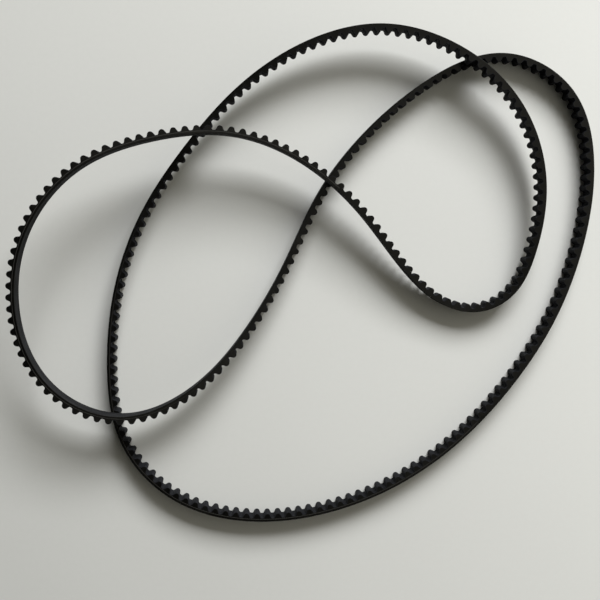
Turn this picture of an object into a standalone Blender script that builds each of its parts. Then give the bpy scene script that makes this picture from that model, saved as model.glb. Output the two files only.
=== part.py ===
"""Endless timing belt with rounded 5 mm pitch teeth, standing loosely on its edge.

The belt is one narrow closed band. It stands upright on a flat surface and is laid out
in big free curves that cross over one another four times, as a new belt does when it is
dropped out of its packet. Its layers, from the smooth back to the teeth, are:

    backing        rubber that covers and protects the cords
    tension_cord   glass fibre cords wound side by side, the layer that carries the load
    tooth_body     rubber teeth joined by a thin web of rubber over the cords
    tooth_facing   nylon fabric over the whole toothed side

Lengths are in millimetres here and are turned into metres as the meshes are made.
+Z is up. The origin is under the middle of the belt's plan, on the surface it stands on.
"""

import math

import bmesh
import bpy
import numpy as np

MM = 0.001

# Belt size: 5 mm pitch with rounded teeth, 9 mm wide.
TOOTH_COUNT = 289
PITCH = 5.0
WIDTH = 9.0
TOTAL_THICKNESS = 3.81
TOOTH_HEIGHT = 2.08
ROOT_WIDTH = 4.00
TIP_WIDTH = 1.70

# Layers, measured across the belt from the middle of the cords (the pitch line).
PITCH_LINE_TO_LAND = 0.57
CORD_THICKNESS = 0.36
FACING_THICKNESS = 0.21
BOND_GAP = 0.02
CORD_INSET = 0.12

# A stretch of belt bent tighter than this gets twice as many facets.
TIGHT_RADIUS = 48.0
SAMPLES_PER_SPAN = 60

LAND = PITCH_LINE_TO_LAND
TIP = LAND + TOOTH_HEIGHT
BACK = LAND + TOOTH_HEIGHT - TOTAL_THICKNESS
LAYER_EDGE = CORD_THICKNESS / 2.0 + BOND_GAP

# The route of the pitch line, anticlockwise round the left-hand loop first: x, y and the
# height of the belt's lower edge. Where the belt crosses itself the upper stretch is more
# than one belt width above the lower one. The last point leads back to the first.
ROUTE = [
    # left-hand loop, standing clear of the surface, teeth outwards
    (-86.0, -62.5, 11.5),
    (-117.0, -47.0, 18.0),
    (-130.0, -14.5, 23.0),
    (-125.0, 21.0, 24.5),
    (-103.0, 49.0, 23.0),
    (-70.5, 62.5, 20.0),
    # over the inner oval, then down over the diagonal
    (-34.5, 65.0, 16.0),
    (-1.5, 52.0, 12.0),
    (25.0, 28.5, 8.0),
    (47.5, 1.0, 3.0),
    # tight bend and up the right-hand side
    (62.0, -10.5, 0.5),
    (79.0, -14.0, 0.0),
    (94.5, -6.0, 0.5),
    (103.0, 11.5, 2.5),
    (106.4, 46.5, 6.0),
    (93.3, 80.6, 8.5),
    # over the outer stretch and round the top
    (66.5, 103.5, 10.0),
    (32.0, 113.2, 9.5),
    (-2.6, 105.3, 8.0),
    (-32.8, 85.3, 5.5),
    # down the inner oval, settling on the surface
    (-56.5, 59.0, 3.5),
    (-76.5, 28.5, 2.0),
    (-88.5, -5.5, 1.0),
    (-92.0, -41.0, 0.3),
    (-86.0, -76.0, 0.0),
    # bottom and outer right-hand side, flat on the surface
    (-62.0, -102.5, 0.0),
    (-27.5, -112.5, 0.0),
    (8.0, -109.0, 0.0),
    (41.5, -96.0, 0.0),
    (71.0, -75.0, 0.0),
    (95.5, -48.0, 0.0),
    (114.5, -17.5, 0.0),
    (126.5, 16.5, 0.0),
    (130.5, 52.5, 0.0),
    (120.0, 86.5, 0.0),
    (89.0, 102.5, 0.0),
    # the diagonal, rising at its lower end to the crossing it started from
    (55.0, 91.0, 0.0),
    (27.0, 68.0, 0.0),
    (5.0, 39.5, 0.0),
    (-10.5, 7.5, 1.0),
    (-29.0, -24.0, 3.5),
    (-53.0, -50.0, 7.5),
]

MATERIALS = {
    "backing": ("chloroprene_backing", (0.013, 0.013, 0.014), 0.62),
    "tension_cord": ("glass_fibre_cord", (0.110, 0.095, 0.070), 0.55),
    "tooth_body": ("chloroprene_teeth", (0.009, 0.009, 0.010), 0.70),
    "tooth_facing": ("nylon_facing", (0.021, 0.022, 0.027), 0.80),
}


def clear_scene():
    """Remove the objects already in the scene."""
    for thing in list(bpy.data.objects):
        bpy.data.objects.remove(thing, do_unlink=True)


def make_material(piece):
    """The piece's own Principled material."""
    name, colour, roughness = MATERIALS[piece]
    material = bpy.data.materials.new(name)
    material.use_nodes = True
    shader = material.node_tree.nodes["Principled BSDF"]
    shader.inputs["Base Color"].default_value = (*colour, 1.0)
    shader.inputs["Roughness"].default_value = roughness
    shader.inputs["Metallic"].default_value = 0.0
    material.diffuse_color = (*colour, 1.0)
    return material


def smooth_slopes(knots, values):
    """Slopes of the closed cubic spline through values, with no break in its bend."""
    count = len(values)
    step = np.diff(knots)
    rise = (np.roll(values, -1) - values) / step
    matrix = np.zeros((count, count))
    right = np.zeros(count)
    for i in range(count):
        before = step[i - 1]
        after = step[i]
        matrix[i, i - 1] += 1.0 / before
        matrix[i, i] += 2.0 / before + 2.0 / after
        matrix[i, (i + 1) % count] += 1.0 / after
        right[i] = 3.0 * (rise[i - 1] / before + rise[i] / after)
    return np.linalg.solve(matrix, right)


def level_slopes(knots, values):
    """Slopes that never overshoot, so a flat stretch stays exactly flat."""
    rise = (np.roll(values, -1) - values) / np.diff(knots)
    slopes = np.zeros(len(values))
    for i in range(len(values)):
        before = rise[i - 1]
        after = rise[i]
        if before * after > 0.0:
            slopes[i] = 2.0 * before * after / (before + after)
    return slopes


def hermite(knots, values, slopes, t):
    """The closed cubic curve with these values and slopes, at parameter t."""
    count = len(values)
    span = np.clip(np.searchsorted(knots, t, side="right") - 1, 0, count - 1)
    following = (span + 1) % count
    step = knots[span + 1] - knots[span]
    u = (t - knots[span]) / step
    a = (1.0 + 2.0 * u) * (1.0 - u) ** 2
    b = u * (1.0 - u) ** 2 * step
    c = u * u * (3.0 - 2.0 * u)
    d = u * u * (u - 1.0) * step
    return a * values[span] + b * slopes[span] + c * values[following] + d * slopes[following]


class PitchLine:
    """The closed line through the middle of the cords, measured by its own length."""

    def __init__(self, route, length):
        points = np.array(route)
        closed = np.vstack([points, points[:1]])
        knots = np.append(0.0, np.cumsum(np.linalg.norm(np.diff(closed, axis=0), axis=1)))
        t = np.linspace(0.0, knots[-1], len(points) * SAMPLES_PER_SPAN + 1)
        columns = []
        for axis in (0, 1):
            values = points[:, axis]
            columns.append(hermite(knots, values, smooth_slopes(knots, values), t))
        heights = points[:, 2]
        columns.append(hermite(knots, heights, level_slopes(knots, heights), t))
        line = np.stack(columns, axis=1)
        travelled = np.append(0.0, np.cumsum(np.linalg.norm(np.diff(line, axis=0), axis=1)))
        # The belt's length is fixed by its teeth, so the plan is scaled to fit it exactly.
        scale = length / travelled[-1]
        self.length = length
        self.line = line * scale
        self.travelled = travelled * scale
        self.shift = np.zeros(2)

    def at(self, distance):
        """Point at a distance along the line, which may run past the end."""
        distance = distance % self.length
        return np.array([np.interp(distance, self.travelled, self.line[:, i]) for i in range(3)])

    def side(self, distance):
        """Level unit vector towards the teeth, which are on the left of travel."""
        ahead = self.at(distance + 0.5)
        behind = self.at(distance - 0.5)
        along = (ahead - behind)[:2]
        along = along / np.linalg.norm(along)
        return np.array([-along[1], along[0]])

    def radius(self, distance):
        """Bend radius of the line at a distance, over one pitch either side."""
        first = self.side(distance - PITCH)
        second = self.side(distance + PITCH)
        turn = math.acos(max(-1.0, min(1.0, float(first @ second))))
        return 2.0 * PITCH / max(turn, 1e-6)

    def place(self, distance, across):
        """Point on the belt's lower edge, a distance along and an offset across."""
        point = self.at(distance)
        point[:2] += across * self.side(distance) - self.shift
        return point

    def centre_on(self, offsets):
        """Move the origin under the middle of the plan of lines at these offsets."""
        steps = np.arange(0.0, self.length, PITCH / 8.0)
        plan = np.array([self.place(s, v)[:2] for v in offsets for s in steps])
        self.shift = (plan.min(axis=0) + plan.max(axis=0)) / 2.0


def tooth_outline(inset):
    """Half widths and offsets of the tooth's root and tip, each side moved inwards by inset."""
    lean = (ROOT_WIDTH - TIP_WIDTH) / 2.0
    flank = math.hypot(lean, TOOTH_HEIGHT)
    narrower = inset * (flank - lean) / TOOTH_HEIGHT
    return ROOT_WIDTH / 2.0 - narrower, TIP_WIDTH / 2.0 - narrower, LAND - inset, TIP - inset


def line_stations(pitch_line):
    """Distances at which a plain layer has a joint: one to a tooth, two in a tight bend."""
    stations = []
    for tooth in range(TOOTH_COUNT):
        middle = tooth * PITCH
        stations.append(middle - ROOT_WIDTH / 2.0)
        if pitch_line.radius(middle) < TIGHT_RADIUS:
            stations.append(middle + ROOT_WIDTH / 2.0)
    return stations


def ring_of_points(bm, pitch_line, places, lift):
    """Vertices for (distance, across) places along the belt, raised by lift."""
    ring = []
    for distance, across in places:
        x, y, z = pitch_line.place(distance, across)
        ring.append(bm.verts.new((x * MM, y * MM, (z + lift) * MM)))
    return ring


def finish(bm, piece, height, parent):
    """Pull the flat plan up to its full height and make it an object."""
    lifted = bmesh.ops.extrude_face_region(bm, geom=bm.faces[:])
    top = [item for item in lifted["geom"] if isinstance(item, bmesh.types.BMVert)]
    bmesh.ops.translate(bm, verts=top, vec=(0.0, 0.0, height * MM))
    bmesh.ops.recalc_face_normals(bm, faces=bm.faces[:])
    mesh = bpy.data.meshes.new(piece)
    bm.to_mesh(mesh)
    bm.free()
    mesh.materials.append(make_material(piece))
    mesh.shade_smooth()
    mesh.set_sharp_from_angle(angle=math.radians(30.0))
    thing = bpy.data.objects.new(piece, mesh)
    bpy.context.scene.collection.objects.link(thing)
    thing.parent = parent
    return thing


def make_plain_layer(piece, pitch_line, low, high, inset, parent):
    """A band of even thickness between two offsets, inset from both cut edges."""
    bm = bmesh.new()
    stations = line_stations(pitch_line)
    inner = ring_of_points(bm, pitch_line, [(s, low) for s in stations], inset)
    outer = ring_of_points(bm, pitch_line, [(s, high) for s in stations], inset)
    for i in range(len(stations)):
        bm.faces.new((inner[i - 1], inner[i], outer[i], outer[i - 1]))
    return finish(bm, piece, WIDTH - 2.0 * inset, parent)


def tooth_places(tooth, outline):
    """The four corners of one tooth as (distance, across) places."""
    root_half, tip_half, land, tip = outline
    middle = tooth * PITCH
    return [
        (middle - root_half, land),
        (middle - tip_half, tip),
        (middle + tip_half, tip),
        (middle + root_half, land),
    ]


def make_tooth_body(pitch_line, parent):
    """Rubber teeth on a thin web, flat against the cords."""
    bm = bmesh.new()
    stations = line_stations(pitch_line)
    web = ring_of_points(bm, pitch_line, [(s, LAYER_EDGE) for s in stations], 0.0)
    outline = tooth_outline(FACING_THICKNESS + BOND_GAP)
    teeth = []
    for tooth in range(TOOTH_COUNT):
        teeth.append(ring_of_points(bm, pitch_line, tooth_places(tooth, outline), 0.0))
    at = 0
    for tooth in range(TOOTH_COUNT):
        left, tip_left, tip_right, right = teeth[tooth]
        next_left = teeth[(tooth + 1) % TOOTH_COUNT][0]
        bm.faces.new((left, right, tip_right, tip_left))
        if pitch_line.radius(tooth * PITCH) < TIGHT_RADIUS:
            bm.faces.new((web[at], web[at + 1], right, left))
            at += 1
        else:
            bm.faces.new((web[at], right, left))
        following = (at + 1) % len(web)
        bm.faces.new((web[at], web[following], next_left, right))
        at += 1
    return finish(bm, "tooth_body", WIDTH, parent)


def make_tooth_facing(pitch_line, parent):
    """Nylon fabric that follows every tooth and the land between teeth."""
    bm = bmesh.new()
    rubber_side = tooth_outline(FACING_THICKNESS)
    pulley_side = tooth_outline(0.0)
    inner = []
    outer = []
    for tooth in range(TOOTH_COUNT):
        inner += ring_of_points(bm, pitch_line, tooth_places(tooth, rubber_side), 0.0)
        outer += ring_of_points(bm, pitch_line, tooth_places(tooth, pulley_side), 0.0)
    for i in range(len(inner)):
        bm.faces.new((inner[i - 1], inner[i], outer[i], outer[i - 1]))
    return finish(bm, "tooth_facing", WIDTH, parent)


def main():
    clear_scene()
    frame = bpy.data.objects.new("belt_frame", None)
    bpy.context.scene.collection.objects.link(frame)
    pitch_line = PitchLine(ROUTE, TOOTH_COUNT * PITCH)
    pitch_line.centre_on((BACK, TIP))
    make_plain_layer("backing", pitch_line, BACK, -LAYER_EDGE, 0.0, frame)
    cord_half = CORD_THICKNESS / 2.0
    make_plain_layer("tension_cord", pitch_line, -cord_half, cord_half, CORD_INSET, frame)
    make_tooth_body(pitch_line, frame)
    make_tooth_facing(pitch_line, frame)


main()
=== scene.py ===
"""Looks of the endless timing belt: rounded teeth, nylon facing, wound cords and a ground back."""

import math

import bpy
import numpy as np
from mathutils import Matrix, Vector


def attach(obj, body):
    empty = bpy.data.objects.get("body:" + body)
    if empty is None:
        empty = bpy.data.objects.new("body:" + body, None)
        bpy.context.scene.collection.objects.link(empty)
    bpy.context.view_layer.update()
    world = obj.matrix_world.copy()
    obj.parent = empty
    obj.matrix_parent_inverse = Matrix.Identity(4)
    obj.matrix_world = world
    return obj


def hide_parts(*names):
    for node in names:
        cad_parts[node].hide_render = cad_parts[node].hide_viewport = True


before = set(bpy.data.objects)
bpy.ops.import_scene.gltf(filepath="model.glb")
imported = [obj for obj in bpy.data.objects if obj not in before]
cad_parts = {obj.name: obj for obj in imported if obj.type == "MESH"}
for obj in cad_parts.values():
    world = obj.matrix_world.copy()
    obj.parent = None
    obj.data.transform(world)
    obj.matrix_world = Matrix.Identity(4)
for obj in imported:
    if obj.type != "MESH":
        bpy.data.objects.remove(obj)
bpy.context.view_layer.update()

# ---------------------------------------------------------------------------
# Sizes, in metres
# ---------------------------------------------------------------------------

TOOTH_COUNT = 289
PITCH = 0.005
WIDTH = 0.009
TOTAL_THICKNESS = 0.00381
TOOTH_HEIGHT = 0.00208
PITCH_LINE_TO_LAND = 0.00057
FACING_THICKNESS = 0.00021

# Offsets across the belt, from the pitch line towards the teeth.
LAND = PITCH_LINE_TO_LAND
TIP = LAND + TOOTH_HEIGHT
BACK = TIP - TOTAL_THICKNESS
WEB_START = 0.00001

# The rounded tooth: a round crown on leaning flanks that run out into the land.
CROWN_RADIUS = 0.00136
ROOT_FILLET = 0.00060
FLANK_LEAN = math.radians(24.0)
CROWN_STEPS = 5
FILLET_STEPS = 3

# Worn corners of the back, and of the facing where it is cut.
BACK_CORNER = 0.00010
FACING_CORNER = 0.00004

# The two tension cords, wound side by side through the belt's width.
CORD_DIAMETER = 0.00036
CORD_SPACING = 0.00064
CORD_OVERRUN = 0.00010
CORD_PROUD = 0.00002
CORD_SIDES = 8

# How finely the belt is measured and drawn.
SAMPLES_PER_SPAN = 60
MARKS_PER_TOOTH = 8
BACK_STEPS_PER_TOOTH = 4
DIRECTION_REACH = 0.0005
SHARP_ANGLE = math.radians(35.0)

# Route of the pitch line: x, y and the height of the belt's lower edge.
ROUTE = [
    (-0.0860, -0.0625, 0.0115),
    (-0.1170, -0.0470, 0.0180),
    (-0.1300, -0.0145, 0.0230),
    (-0.1250, 0.0210, 0.0245),
    (-0.1030, 0.0490, 0.0230),
    (-0.0705, 0.0625, 0.0200),
    (-0.0345, 0.0650, 0.0160),
    (-0.0015, 0.0520, 0.0120),
    (0.0250, 0.0285, 0.0080),
    (0.0475, 0.0010, 0.0030),
    (0.0620, -0.0105, 0.0005),
    (0.0790, -0.0140, 0.0000),
    (0.0945, -0.0060, 0.0005),
    (0.1030, 0.0115, 0.0025),
    (0.1064, 0.0465, 0.0060),
    (0.0933, 0.0806, 0.0085),
    (0.0665, 0.1035, 0.0100),
    (0.0320, 0.1132, 0.0095),
    (-0.0026, 0.1053, 0.0080),
    (-0.0328, 0.0853, 0.0055),
    (-0.0565, 0.0590, 0.0035),
    (-0.0765, 0.0285, 0.0020),
    (-0.0885, -0.0055, 0.0010),
    (-0.0920, -0.0410, 0.0003),
    (-0.0860, -0.0760, 0.0000),
    (-0.0620, -0.1025, 0.0000),
    (-0.0275, -0.1125, 0.0000),
    (0.0080, -0.1090, 0.0000),
    (0.0415, -0.0960, 0.0000),
    (0.0710, -0.0750, 0.0000),
    (0.0955, -0.0480, 0.0000),
    (0.1145, -0.0175, 0.0000),
    (0.1265, 0.0165, 0.0000),
    (0.1305, 0.0525, 0.0000),
    (0.1200, 0.0865, 0.0000),
    (0.0890, 0.1025, 0.0000),
    (0.0550, 0.0910, 0.0000),
    (0.0270, 0.0680, 0.0000),
    (0.0050, 0.0395, 0.0000),
    (-0.0105, 0.0075, 0.0010),
    (-0.0290, -0.0240, 0.0035),
    (-0.0530, -0.0500, 0.0075),
]

# Spacing of the facing's slanting ribs, of its threads, and of the strands in a cord.
RIB_SPACING = 0.00052
THREAD_SPACING = 0.00026
STRAND_SPACING = 0.00019

# The mesh attribute that says where a face corner lies on the belt.
LIE = "belt_lie"

# ---------------------------------------------------------------------------
# Table, light and camera, with places and lengths in metres
# ---------------------------------------------------------------------------

# The table top, and how much paler it is painted per metre towards its right and far sides:
# painted light, standing in for the window's light falling more strongly there.
FLOOR_HALF = 6.0
FLOOR_STEPS = 8
PAINTED_LIGHT_TO_RIGHT = 2.54
PAINTED_LIGHT_TO_FAR = 1.1

# The window: a large soft light beyond the belt, a little to the right.
WINDOW_TOWARDS = (0.424, 1.397, 1.0)
WINDOW_DISTANCE = 4.0
WINDOW_LENGTH = 2.617
WINDOW_HEIGHT = 1.683
WINDOW_WATTS = 230.6
WINDOW_COLOUR = (0.985, 0.995, 1.0)

# The room's own light, which grows from dark to bright along one direction: it is dark where
# that direction's share of a unit vector is below one value, and bright where it is above another.
ROOM_COLOUR = (1.0, 0.965, 0.82, 1.0)
ROOM_TOWARDS_BRIGHT = (0.9, 0.42, 0.0)
ROOM_DARK_BELOW = -0.18
ROOM_BRIGHT_ABOVE = 0.38
ROOM_DARK_STRENGTH = 0.02
ROOM_BRIGHT_STRENGTH = 0.47

CAMERA_PLACE = (-0.02835, 0.02776, 0.47091)
CAMERA_TARGET = (-0.00347, -0.01055, 0.0)
CAMERA_SENSOR_MM = 36.0
CAMERA_LENS_MM = 60.42
CAMERA_NEAR = 0.01
CAMERA_FAR = 20.0


# ---------------------------------------------------------------------------
# The belt's path
# ---------------------------------------------------------------------------


def smooth_slopes(knots, values):
    """Slopes of the closed cubic spline through values, with no break in its bend."""
    count = len(values)
    step = np.diff(knots)
    rise = (np.roll(values, -1) - values) / step
    matrix = np.zeros((count, count))
    right = np.zeros(count)
    for i in range(count):
        before = step[i - 1]
        after = step[i]
        matrix[i, i - 1] += 1.0 / before
        matrix[i, i] += 2.0 / before + 2.0 / after
        matrix[i, (i + 1) % count] += 1.0 / after
        right[i] = 3.0 * (rise[i - 1] / before + rise[i] / after)
    return np.linalg.solve(matrix, right)


def level_slopes(knots, values):
    """Slopes that never overshoot, so a flat stretch stays exactly flat."""
    rise = (np.roll(values, -1) - values) / np.diff(knots)
    slopes = np.zeros(len(values))
    for i in range(len(values)):
        before = rise[i - 1]
        after = rise[i]
        if before * after > 0.0:
            slopes[i] = 2.0 * before * after / (before + after)
    return slopes


def hermite(knots, values, slopes, t):
    """The closed cubic curve with these values and slopes, at parameter t."""
    count = len(values)
    here = np.clip(np.searchsorted(knots, t, side="right") - 1, 0, count - 1)
    there = (here + 1) % count
    step = knots[here + 1] - knots[here]
    u = (t - knots[here]) / step
    value_here = (1.0 + 2.0 * u) * (1.0 - u) ** 2
    slope_here = u * (1.0 - u) ** 2 * step
    value_there = u * u * (3.0 - 2.0 * u)
    slope_there = u * u * (u - 1.0) * step
    leaving = value_here * values[here] + slope_here * slopes[here]
    return leaving + value_there * values[there] + slope_there * slopes[there]


class PitchLine:
    """The closed line through the middle of the cords, measured by its own length."""

    def __init__(self, route, length):
        points = np.array(route)
        closed = np.vstack([points, points[:1]])
        knots = np.append(0.0, np.cumsum(np.linalg.norm(np.diff(closed, axis=0), axis=1)))
        t = np.linspace(0.0, knots[-1], len(points) * SAMPLES_PER_SPAN + 1)
        columns = []
        for axis in (0, 1):
            values = points[:, axis]
            columns.append(hermite(knots, values, smooth_slopes(knots, values), t))
        heights = points[:, 2]
        columns.append(hermite(knots, heights, level_slopes(knots, heights), t))
        line = np.stack(columns, axis=1)
        travelled = np.append(0.0, np.cumsum(np.linalg.norm(np.diff(line, axis=0), axis=1)))
        scale = length / travelled[-1]
        self.length = length
        self.line = line * scale
        self.travelled = travelled * scale
        # The middle of the plan box goes to the origin.
        self.shift = np.zeros(2)
        marks = np.arange(0.0, length, PITCH / MARKS_PER_TOOTH)
        plan = np.vstack([self.place(marks, across) for across in (BACK, TIP)])
        self.shift = (plan.min(axis=0) + plan.max(axis=0))[:2] / 2.0

    def at(self, distance):
        """Points at distances along the line, which may run past the end."""
        distance = np.mod(distance, self.length)
        columns = [np.interp(distance, self.travelled, self.line[:, i]) for i in range(3)]
        return np.stack(columns, axis=-1)

    def side(self, distance):
        """Level unit vectors towards the teeth, which are on the left of travel."""
        ahead = self.at(distance + DIRECTION_REACH)
        behind = self.at(distance - DIRECTION_REACH)
        along = (ahead - behind)[:, :2]
        along = along / np.linalg.norm(along, axis=1)[:, None]
        return np.stack([-along[:, 1], along[:, 0]], axis=1)

    def place(self, distance, across):
        """Points on the belt's lower edge, distances along and offsets across."""
        point = self.at(distance)
        point[:, :2] += np.asarray(across).reshape(-1, 1) * self.side(distance) - self.shift
        return point


# ---------------------------------------------------------------------------
# Shapes
# ---------------------------------------------------------------------------


def put_in_scene(name, data):
    """A new object in the scene, made of this mesh, light or camera."""
    thing = bpy.data.objects.new(name, data)
    bpy.context.scene.collection.objects.link(thing)
    return thing


def tooth_outline(inset):
    """Distances from the tooth's middle and offsets, from the left land to the right one."""
    crown_centre = TIP - CROWN_RADIUS
    crown = CROWN_RADIUS - inset
    fillet = ROOT_FILLET + inset
    # The flank touches the crown and, through the fillet, runs out into the land.
    drop = crown_centre + CROWN_RADIUS * math.sin(FLANK_LEAN) - LAND
    foot = CROWN_RADIUS * math.cos(FLANK_LEAN) + drop * math.tan(FLANK_LEAN)
    fillet_x = foot + ROOT_FILLET * (1.0 - math.sin(FLANK_LEAN)) / math.cos(FLANK_LEAN)
    fillet_centre = LAND + ROOT_FILLET
    quarter = math.pi / 2.0
    half = []
    for step in range(CROWN_STEPS + 1):
        angle = quarter - (quarter - FLANK_LEAN) * step / CROWN_STEPS
        half.append((crown * math.cos(angle), crown_centre + crown * math.sin(angle)))
    for step in range(FILLET_STEPS + 1):
        angle = math.pi + FLANK_LEAN + (quarter - FLANK_LEAN) * step / FILLET_STEPS
        x = fillet_x + fillet * math.cos(angle)
        half.append((x, fillet_centre + fillet * math.sin(angle)))
    left = [(-x, across) for x, across in reversed(half[1:])]
    return left + half


def belt_outline(inset):
    """Distances along and offsets across of the whole toothed side."""
    outline = tooth_outline(inset)
    distances = []
    offsets = []
    for tooth in range(TOOTH_COUNT):
        for x, across in outline:
            distances.append(tooth * PITCH + x)
            offsets.append(across)
    return np.array(distances), np.array(offsets)


def developed_length(distances, offsets):
    """Length along the outline itself, up and down every tooth."""
    steps = np.hypot(np.diff(distances), np.diff(offsets))
    return np.append(0.0, np.cumsum(steps))


def section_lengths(rows):
    """Distance round the section at each row and back at the first, at the belt's start."""
    lengths = [0.0]
    for here, there in zip(rows, rows[1:] + rows[:1]):
        across = float(there[1][0] - here[1][0])
        lift = float(there[2] - here[2])
        lengths.append(lengths[-1] + math.hypot(across, lift))
    return lengths


def new_mesh(name, points, faces, pattern, materials):
    """A mesh whose face corners carry a pattern: along the belt, round its section, twist."""
    mesh = bpy.data.meshes.new(name)
    mesh.from_pydata(points.tolist(), [], faces)
    attribute = mesh.attributes.new(LIE, "FLOAT_VECTOR", "CORNER")
    attribute.data.foreach_set("vector", np.array(pattern, dtype=np.float32).ravel())
    for material in materials:
        mesh.materials.append(material)
    return mesh


def ring_piece(name, path, rows, materials, material_of_strip):
    """A closed band: rows of points that run round the belt, joined into a closed section.

    A row is (distances along, offsets across, lift, lengths for the pattern).
    """
    count = len(rows[0][0])
    points = []
    for distances, offsets, lift, _lengths in rows:
        row = path.place(distances, offsets)
        row[:, 2] += lift
        points.append(row)
    around = section_lengths(rows)
    faces = []
    pattern = []
    slots = []
    total = len(rows)
    for r in range(total):
        after = (r + 1) % total
        lengths = rows[r][3]
        low = around[r]
        high = around[r + 1]
        closing = lengths[-1] + (lengths[1] - lengths[0])
        for i in range(count):
            j = (i + 1) % count
            faces.append((r * count + i, r * count + j, after * count + j, after * count + i))
            start = lengths[i]
            end = lengths[i + 1] if i + 1 < count else closing
            pattern += [(start, low, 0.0), (end, low, 0.0), (end, high, 0.0), (start, high, 0.0)]
            slots.append(material_of_strip[r])
    mesh = new_mesh(name, np.vstack(points), faces, pattern, materials)
    mesh.polygons.foreach_set("material_index", slots)
    mesh.validate()
    mesh.shade_smooth()
    mesh.set_sharp_from_angle(angle=SHARP_ANGLE)
    return put_in_scene(name, mesh)


def face_then_cut(section):
    """Material slots round a section: its face on the first strip, then cut edges."""
    return [0] + [1] * (len(section) - 1)


def make_backing(path, ground, cut):
    """The smooth back, with its cut edges and slightly worn corners."""
    distances = np.arange(TOOTH_COUNT * BACK_STEPS_PER_TOOTH) * PITCH / BACK_STEPS_PER_TOOTH
    section = [
        (BACK, BACK_CORNER),
        (BACK, WIDTH - BACK_CORNER),
        (BACK + BACK_CORNER, WIDTH),
        (0.0, WIDTH),
        (0.0, 0.0),
        (BACK + BACK_CORNER, 0.0),
    ]
    rows = []
    for across, lift in section:
        rows.append((distances, np.full(len(distances), across), lift, distances))
    return ring_piece("belt_backing", path, rows, [ground, cut], face_then_cut(rows))


def make_teeth(path, cut):
    """Rubber teeth on their web, seen at the two cut edges."""
    distances, offsets = belt_outline(FACING_THICKNESS)
    web = np.full(len(distances), WEB_START)
    rows = [
        (distances, offsets, 0.0, distances),
        (distances, offsets, WIDTH, distances),
        (distances, web, WIDTH, distances),
        (distances, web, 0.0, distances),
    ]
    return ring_piece("belt_teeth", path, rows, [cut], [0] * len(rows))


def make_facing(path, weave, cut_edge):
    """Nylon fabric over every tooth and land, its corners worn at the cut edges."""
    distances, outer = belt_outline(0.0)
    inner_distances, inner = belt_outline(FACING_THICKNESS)
    lengths = developed_length(distances, outer)
    rows = [
        (distances, outer, FACING_CORNER, lengths),
        (distances, outer, WIDTH - FACING_CORNER, lengths),
        (distances, outer - FACING_CORNER, WIDTH, lengths),
        (inner_distances, inner, WIDTH, lengths),
        (inner_distances, inner, 0.0, lengths),
        (distances, outer - FACING_CORNER, 0.0, lengths),
    ]
    return ring_piece("belt_facing", path, rows, [weave, cut_edge], face_then_cut(rows))


def make_cord(path, name, start_height, twist, material):
    """One cord wound as a long helix round the belt, cut flush where it meets an edge."""
    # One length of cord per tooth; a turn climbs past its own cord and the other one.
    climb = 2.0 * CORD_SPACING
    rise = WIDTH + CORD_OVERRUN - start_height
    count = int(TOOTH_COUNT * rise / climb)
    steps = np.arange(count + 1)
    distances = steps * PITCH
    lift = start_height + steps / TOOTH_COUNT * climb
    centre = path.place(distances, 0.0)
    side = path.side(distances)
    radius = CORD_DIAMETER / 2.0
    points = []
    for k in range(CORD_SIDES):
        angle = 2.0 * math.pi * k / CORD_SIDES
        ring = centre.copy()
        ring[:, :2] += side * radius * math.cos(angle)
        ring[:, 2] += np.clip(lift + radius * math.sin(angle), 0.0, WIDTH + CORD_PROUD)
        points.append(ring)
    points = np.stack(points, axis=1).reshape(-1, 3)
    side_width = 2.0 * math.pi * radius / CORD_SIDES
    faces = []
    pattern = []
    for i in range(count):
        here = i * CORD_SIDES
        there = here + CORD_SIDES
        start = distances[i]
        end = distances[i + 1]
        for k in range(CORD_SIDES):
            after = (k + 1) % CORD_SIDES
            faces.append((here + k, there + k, there + after, here + after))
            low = k * side_width
            high = (k + 1) * side_width
            pattern += [(start, low, twist), (end, low, twist)]
            pattern += [(end, high, twist), (start, high, twist)]
    # The two ends.
    faces.append(tuple(reversed(range(CORD_SIDES))))
    faces.append(tuple(count * CORD_SIDES + k for k in range(CORD_SIDES)))
    pattern += [(0.0, 0.0, twist)] * (2 * CORD_SIDES)
    mesh = new_mesh(name, points, faces, pattern, [material])
    mesh.shade_smooth()
    return put_in_scene(name, mesh)


# ---------------------------------------------------------------------------
# Materials
# ---------------------------------------------------------------------------


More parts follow.
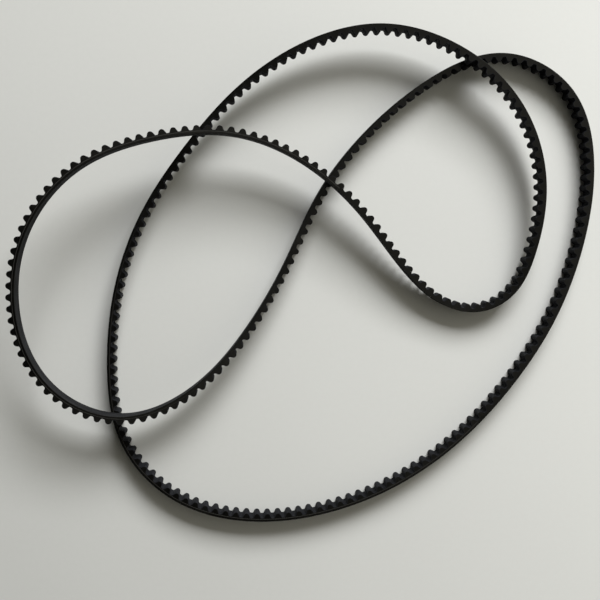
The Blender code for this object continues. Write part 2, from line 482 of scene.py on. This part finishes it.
class Nodes:
    """Short ways to add shader nodes to one material."""

    def __init__(self, name):
        self.material = bpy.data.materials.new(name)
        self.material.use_nodes = True
        self.tree = self.material.node_tree
        self.shader = self.tree.nodes["Principled BSDF"]

    def add(self, kind, **settings):
        node = self.tree.nodes.new(kind)
        for key, value in settings.items():
            setattr(node, key, value)
        return node

    def link(self, output, socket):
        self.tree.links.new(output, socket)

    def put(self, socket, value):
        """A value, or another node's output, goes into the socket."""
        if isinstance(value, bpy.types.NodeSocket):
            self.link(value, socket)
        else:
            socket.default_value = value

    def math(self, operation, *values, clamp=False):
        node = self.add("ShaderNodeMath", operation=operation, use_clamp=clamp)
        for socket, value in zip(node.inputs, values):
            self.put(socket, value)
        return node.outputs[0]

    def mix(self, *shares, clamp=False):
        """The sum of values, each times its share."""
        parts = [self.math("MULTIPLY", value, share) for value, share in shares]
        total = parts[0]
        for part in parts[1:]:
            total = self.math("ADD", total, part)
        total.node.use_clamp = clamp
        return total

    def wave(self, value, spacing):
        """A sine wave that repeats each time value grows by spacing."""
        return self.math("SINE", self.math("MULTIPLY", value, 2.0 * math.pi / spacing))

    def lie(self):
        """Where a point lies: along the belt, round its section, and its cord's twist."""
        node = self.add("ShaderNodeAttribute", attribute_type="GEOMETRY", attribute_name=LIE)
        return node.outputs["Vector"]

    def position(self):
        """Where a point is in the room."""
        return self.add("ShaderNodeNewGeometry").outputs["Position"]

    def split(self, vector):
        """The three parts of a vector."""
        parts = self.add("ShaderNodeSeparateXYZ")
        self.link(vector, parts.inputs[0])
        return parts.outputs[0], parts.outputs[1], parts.outputs[2]

    def noise(self, vector, scale, detail, roughness):
        """Noise from 0 to 1; a pair of scales is along the belt and round its section."""
        if isinstance(scale, tuple):
            mapping = self.add("ShaderNodeMapping")
            mapping.inputs["Scale"].default_value = (*scale, 1.0)
            self.link(vector, mapping.inputs["Vector"])
            vector = mapping.outputs[0]
            scale = 1.0
        node = self.add("ShaderNodeTexNoise")
        node.inputs["Scale"].default_value = scale
        node.inputs["Detail"].default_value = detail
        node.inputs["Roughness"].default_value = roughness
        self.link(vector, node.inputs["Vector"])
        return node.outputs["Fac"]

    def colour(self, value, *stops):
        """Base colour from a ramp of (position, colour) stops."""
        node = self.add("ShaderNodeValToRGB")
        ramp = node.color_ramp
        while len(ramp.elements) < len(stops):
            ramp.elements.new(0.5)
        for element, (position, colour) in zip(ramp.elements, stops):
            element.position = position
            element.color = (*colour, 1.0)
        self.link(value, node.inputs[0])
        self.link(node.outputs[0], self.shader.inputs["Base Color"])

    def roughness(self, value, low, high):
        """Roughness from low to high as value goes from 0 to 1."""
        node = self.add("ShaderNodeMapRange")
        self.link(value, node.inputs["Value"])
        node.inputs["To Min"].default_value = low
        node.inputs["To Max"].default_value = high
        self.link(node.outputs[0], self.shader.inputs["Roughness"])

    def bump(self, height, strength, distance):
        node = self.add("ShaderNodeBump")
        node.inputs["Strength"].default_value = strength
        node.inputs["Distance"].default_value = distance
        self.link(height, node.inputs["Height"])
        self.link(node.outputs[0], self.shader.inputs["Normal"])


def ground_rubber():
    """The back: black rubber ground along the belt, a little grey where the grinding shows."""
    n = Nodes("ground_back_rubber")
    lie = n.lie()
    streaks = n.noise(lie, scale=(110.0, 4200.0), detail=4.0, roughness=0.62)
    pits = n.noise(lie, scale=(2600.0, 5200.0), detail=2.0, roughness=0.5)
    patches = n.noise(lie, scale=(90.0, 160.0), detail=3.0, roughness=0.5)
    grain = n.mix((streaks, 0.62), (pits, 0.38))
    tone = n.mix((grain, 0.7), (patches, 0.3))
    dark = (0.0050, 0.0051, 0.0056)
    mid = (0.0140, 0.0143, 0.0156)
    pale = (0.0470, 0.0478, 0.0510)
    n.colour(tone, (0.36, dark), (0.50, mid), (0.66, pale))
    n.roughness(tone, 0.58, 0.90)
    n.shader.inputs["Specular IOR Level"].default_value = 0.05
    n.bump(grain, strength=0.9, distance=0.00007)
    return n.material


def cut_rubber():
    """The knife-cut edges: deep black, with the blade's fine marks across them."""
    n = Nodes("cut_black_rubber")
    place = n.position()
    marks = n.noise(n.lie(), scale=(5200.0, 700.0), detail=3.0, roughness=0.6)
    grain = n.noise(place, scale=2600.0, detail=3.0, roughness=0.6)
    patches = n.noise(place, scale=95.0, detail=2.0, roughness=0.5)
    tone = n.mix((marks, 0.45), (grain, 0.25), (patches, 0.30))
    dark = (0.0005, 0.0005, 0.0004)
    mid = (0.0015, 0.0015, 0.0013)
    pale = (0.0090, 0.0090, 0.0076)
    n.colour(tone, (0.36, dark), (0.52, mid), (0.68, pale))
    n.roughness(tone, 0.16, 0.30)
    n.shader.inputs["Specular IOR Level"].default_value = 0.38
    n.bump(tone, strength=0.20, distance=0.00004)
    return n.material


def nylon_weave():
    """The toothed side: dark twill with fine threads and graphite-grey patches; the raised weave
    is painted paler, a painted highlight.
    """
    n = Nodes("nylon_twill_facing")
    lie = n.lie()
    along, around, _twist = n.split(lie)
    # Twill ribs lean across the belt; threads run along and across it.
    rib = n.wave(n.math("ADD", along, around), RIB_SPACING)
    warp = n.wave(along, THREAD_SPACING)
    weft = n.wave(around, THREAD_SPACING)
    threads = n.math("MULTIPLY", warp, weft)
    height = n.math("ADD", n.mix((rib, 0.32), (threads, 0.18)), 0.5, clamp=True)
    fuzz = n.noise(lie, scale=(2400.0, 2400.0), detail=2.0, roughness=0.6)
    patches = n.noise(lie, scale=(130.0, 220.0), detail=3.0, roughness=0.55)
    # The weave's height also goes into the colour: its raised ribs and threads are painted paler,
    # a painted highlight. Fuzz and patches are random grey tone.
    tone = n.mix((height, 0.45), (fuzz, 0.25), (patches, 0.30))
    dark = (0.0032, 0.0034, 0.0041)
    mid = (0.0080, 0.0085, 0.0104)
    pale = (0.0205, 0.0218, 0.0262)
    n.colour(tone, (0.30, dark), (0.50, mid), (0.74, pale))
    n.roughness(tone, 0.90, 0.66)
    n.shader.inputs["Specular IOR Level"].default_value = 0.05
    n.shader.inputs["Sheen Weight"].default_value = 0.015
    n.shader.inputs["Sheen Roughness"].default_value = 0.5
    n.bump(height, strength=0.5, distance=0.00006)
    return n.material


def cut_fabric():
    """The facing's own cut edge: a thin line of dark thread ends."""
    n = Nodes("nylon_cut_edge")
    ends = n.noise(n.position(), scale=4200.0, detail=2.0, roughness=0.7)
    dark = (0.003, 0.003, 0.004)
    pale = (0.012, 0.012, 0.015)
    n.colour(ends, (0.35, dark), (0.70, pale))
    n.roughness(ends, 0.95, 0.75)
    n.shader.inputs["Specular IOR Level"].default_value = 0.18
    n.bump(ends, strength=0.4, distance=0.00005)
    return n.material


def glass_cord():
    """Treated glass fibre: dull brown-grey strands laid at a slant."""
    n = Nodes("treated_glass_cord")
    lie = n.lie()
    along, around, twist = n.split(lie)
    slant = n.math("MULTIPLY", along, twist)
    strand = n.wave(n.math("ADD", slant, around), STRAND_SPACING)
    fibres = n.noise(lie, scale=(900.0, 9000.0), detail=2.0, roughness=0.6)
    tone = n.math("ADD", n.math("MULTIPLY", strand, 0.28), fibres)
    dark = (0.005, 0.0045, 0.004)
    pale = (0.026, 0.024, 0.020)
    n.colour(tone, (0.25, dark), (0.80, pale))
    n.roughness(tone, 0.75, 0.5)
    n.shader.inputs["Specular IOR Level"].default_value = 0.30
    n.bump(tone, strength=0.5, distance=0.00004)
    return n.material


def pale_surface():
    """The plain pale table top, faintly uneven, and painted paler towards the right and the far
    side as painted light.
    """
    n = Nodes("pale_table")
    place = n.position()
    broad = n.noise(place, scale=7.0, detail=2.0, roughness=0.5)
    fine = n.noise(place, scale=420.0, detail=3.0, roughness=0.6)
    x, y, _z = n.split(place)
    # Halfway up the ramp under the belt's middle, and paler to the far side and the right: painted
    # light, as if the window lit those sides more.
    halfway = 0.5
    far = n.math("MULTIPLY_ADD", y, PAINTED_LIGHT_TO_FAR, halfway)
    painted_light_drift = n.math("MULTIPLY_ADD", x, PAINTED_LIGHT_TO_RIGHT, far)
    tone = n.mix((broad, 0.14), (fine, 0.08), (painted_light_drift, 0.78), clamp=True)
    dark = (0.557, 0.560, 0.542)
    pale = (0.803, 0.806, 0.780)
    n.colour(tone, (0.10, dark), (0.90, pale))
    n.roughness(fine, 0.62, 0.72)
    n.shader.inputs["Specular IOR Level"].default_value = 0.25
    n.bump(fine, strength=0.10, distance=0.00002)
    return n.material


# ---------------------------------------------------------------------------
# Stage, light and camera
# ---------------------------------------------------------------------------


def make_floor():
    """A wide pale table top under the belt."""
    count = FLOOR_STEPS + 1
    points = []
    for row in range(count):
        for column in range(count):
            x = -FLOOR_HALF + 2.0 * FLOOR_HALF * column / FLOOR_STEPS
            y = -FLOOR_HALF + 2.0 * FLOOR_HALF * row / FLOOR_STEPS
            points.append((x, y, 0.0))
    faces = []
    for row in range(FLOOR_STEPS):
        for column in range(FLOOR_STEPS):
            corner = row * count + column
            beyond = corner + count
            faces.append((corner, corner + 1, beyond + 1, beyond))
    mesh = bpy.data.meshes.new("table_top")
    mesh.from_pydata(points, [], faces)
    mesh.materials.append(pale_surface())
    put_in_scene("table_top", mesh)


def make_window():
    """One large soft light from the far side, a little to the right."""
    data = bpy.data.lights.new("window", "AREA")
    data.shape = "RECTANGLE"
    data.size = WINDOW_LENGTH
    data.size_y = WINDOW_HEIGHT
    data.energy = WINDOW_WATTS
    data.color = WINDOW_COLOUR
    towards = Vector(WINDOW_TOWARDS).normalized()
    lamp = put_in_scene("window", data)
    lamp.location = towards * WINDOW_DISTANCE
    lamp.rotation_euler = (-towards).to_track_quat("-Z", "Y").to_euler()


def make_room():
    """The room's own light: dark at the lower left, brighter towards the upper right."""
    world = bpy.data.worlds.new("room")
    world.use_nodes = True
    nodes = world.node_tree.nodes
    links = world.node_tree.links
    background = nodes["Background"]
    background.inputs["Color"].default_value = ROOM_COLOUR
    direction = nodes.new("ShaderNodeTexCoord")
    towards_bright = nodes.new("ShaderNodeVectorMath")
    towards_bright.operation = "DOT_PRODUCT"
    towards_bright.inputs[1].default_value = ROOM_TOWARDS_BRIGHT
    level = nodes.new("ShaderNodeMapRange")
    level.inputs["From Min"].default_value = ROOM_DARK_BELOW
    level.inputs["From Max"].default_value = ROOM_BRIGHT_ABOVE
    level.inputs["To Min"].default_value = ROOM_DARK_STRENGTH
    level.inputs["To Max"].default_value = ROOM_BRIGHT_STRENGTH
    links.new(direction.outputs["Generated"], towards_bright.inputs[0])
    links.new(towards_bright.outputs["Value"], level.inputs["Value"])
    links.new(level.outputs["Result"], background.inputs["Strength"])
    bpy.context.scene.world = world


def make_camera():
    """Almost straight above, a little to the upper left of the belt, with X across the picture."""
    data = bpy.data.cameras.new("camera")
    data.sensor_width = CAMERA_SENSOR_MM
    data.lens = CAMERA_LENS_MM
    data.clip_start = CAMERA_NEAR
    data.clip_end = CAMERA_FAR
    camera = put_in_scene("camera", data)
    camera.location = CAMERA_PLACE
    forward = (Vector(CAMERA_TARGET) - camera.location).normalized()
    up = Vector((1.0, 0.0, 0.0)).cross(forward).normalized()
    right = forward.cross(up).normalized()
    camera.rotation_euler = Matrix((right, up, -forward)).transposed().to_euler()
    scene = bpy.context.scene
    scene.camera = camera
    scene.view_settings.view_transform = "Standard"
    scene.view_settings.look = "None"


# ---------------------------------------------------------------------------
# The scene
# ---------------------------------------------------------------------------


def dress(piece, node):
    """The piece stands for a CAD node and moves with the belt."""
    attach(piece, "root")
    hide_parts(node)


def main():
    path = PitchLine(ROUTE, TOOTH_COUNT * PITCH)
    cut = cut_rubber()
    cord = glass_cord()
    dress(make_backing(path, ground_rubber(), cut), "backing")
    dress(make_teeth(path, cut), "tooth_body")
    dress(make_facing(path, nylon_weave(), cut_fabric()), "tooth_facing")
    s_cord = make_cord(path, "belt_cord_s", -CORD_OVERRUN, 1.0, cord)
    z_cord = make_cord(path, "belt_cord_z", CORD_SPACING - CORD_OVERRUN, -1.0, cord)
    dress(s_cord, "tension_cord")
    dress(z_cord, "tension_cord")
    make_floor()
    make_window()
    make_room()
    make_camera()


main()
